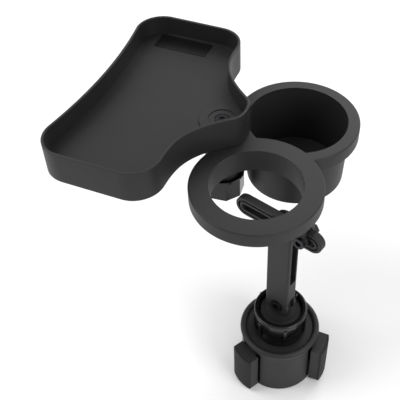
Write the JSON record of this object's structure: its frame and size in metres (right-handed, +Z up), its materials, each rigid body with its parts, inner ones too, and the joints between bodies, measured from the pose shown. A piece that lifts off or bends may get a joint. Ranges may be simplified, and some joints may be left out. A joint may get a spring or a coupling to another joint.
{
  "type": "cup holder expander",
  "caption": "Car cup holder expander with an expanding base, tilting arm, twin cup holder and swivelling snack tray.",
  "frame": {"origin": "centre of the base's flat bottom", "axes": "+Z up along the base, +X along the slotted bar towards its free end, +Y along the pivot bolts towards their nuts"},
  "size_m": [0.2656, 0.2278, 0.2575],
  "materials": {
    "black_abs": "fine moulded texture",
    "gloss_abs": "semi-gloss moulded",
    "black_rubber": "matt",
    "black_steel": "black oxide"
  },
  "bodies": {
    "base": {"base_body": "black_abs", "base_bottom_cover": "black_abs", "jaw_guide": "black_abs", "cover_screws": "black_steel", "centre_column": "black_steel"},
    "knob": {"adjuster_knob": "gloss_abs", "cam_disc": "black_abs"},
    "jaw_a": {"jaw_1": "black_abs", "jaw_pad_1": "black_rubber"},
    "jaw_b": {"jaw_2": "black_abs", "jaw_pad_2": "black_rubber"},
    "jaw_c": {"jaw_3": "black_abs", "jaw_pad_3": "black_rubber"},
    "swivel": {"swivel_lug": "black_abs", "swivel_pin": "black_steel"},
    "arm": {"arm": "black_abs", "arm_bolt": "black_steel", "arm_washer": "black_steel"},
    "wing_nut": {"arm_wing_nut": "gloss_abs"},
    "bar_pivot": {"bar_bolt": "black_steel", "bar_nut": "black_steel"},
    "bar": {"slotted_bar": "black_abs"},
    "holder_pivot": {"bracket_bolt": "black_steel", "bracket_nut": "black_steel"},
    "holder": {"holder_bracket": "black_abs", "bracket_screws": "black_steel", "holder_plate": "black_abs", "cup_bucket": "black_abs", "cup_mat": "black_rubber"},
    "tray": {"tray": "black_abs", "tray_disc": "black_abs", "tray_screw": "black_steel"},
    "tray_knob": {"tray_clamp_knob": "gloss_abs"}
  },
  "joints": [
    {"name": "knob_turn", "type": "hinge", "parent": "base", "child": "knob", "pos_m": [0, 0, 0.07], "axis": [0, 0, 1], "range_deg": [-112, 28]},
    {"name": "jaw_a_slide", "type": "slide", "parent": "base", "child": "jaw_a", "axis": [0.9632, 0.2689, 0], "range_m": [-0.0121, 0.003]},
    {"name": "jaw_b_slide", "type": "slide", "parent": "base", "child": "jaw_b", "axis": [-0.7145, 0.6997, 0], "range_m": [-0.0121, 0.003]},
    {"name": "jaw_c_slide", "type": "slide", "parent": "base", "child": "jaw_c", "axis": [-0.2487, -0.9686, 0], "range_m": [-0.0121, 0.003]},
    {"name": "arm_swivel", "type": "hinge", "parent": "base", "child": "swivel", "pos_m": [0, 0, 0.08], "axis": [0, 0, 1], "continuous": true},
    {"name": "arm_tilt", "type": "hinge", "parent": "swivel", "child": "arm", "pos_m": [0, 0, 0.0932], "axis": [0, 1, 0], "range_deg": [-30, 45]},
    {"name": "wing_nut_turn", "type": "hinge", "parent": "arm", "child": "wing_nut", "pos_m": [0, 0.01, 0.0932], "axis": [0, 1, 0], "range_deg": [0, 90]},
    {"name": "bar_tilt", "type": "hinge", "parent": "arm", "child": "bar_pivot", "pos_m": [0, 0, 0.1923], "axis": [0, 1, 0], "range_deg": [-20, 20]},
    {"name": "bar_slide", "type": "slide", "parent": "bar_pivot", "child": "bar", "axis": [1, 0, 0], "range_m": [-0.001, 0.036]},
    {"name": "holder_slide", "type": "slide", "parent": "bar", "child": "holder_pivot", "axis": [1, 0, 0], "range_m": [0, 0.006]},
    {"name": "holder_tilt", "type": "hinge", "parent": "holder_pivot", "child": "holder", "pos_m": [0.0186, 0, 0.1923], "axis": [0, 1, 0], "range_deg": [-12, 12]},
    {"name": "tray_swivel", "type": "hinge", "parent": "holder", "child": "tray", "pos_m": [-0.0856, 0.0276, 0.23], "axis": [0, 0, 1], "continuous": true},
    {"name": "tray_knob_turn", "type": "hinge", "parent": "tray", "child": "tray_knob", "pos_m": [-0.0856, 0.0276, 0.17], "axis": [0, 0, 1], "range_deg": [0, 90]}
  ],
  "couplings": [
    {"joint": "jaw_a_slide", "follows": "knob_turn", "m_per_rad": 0.006},
    {"joint": "jaw_b_slide", "follows": "knob_turn", "m_per_rad": 0.006},
    {"joint": "jaw_c_slide", "follows": "knob_turn", "m_per_rad": 0.006}
  ]
}
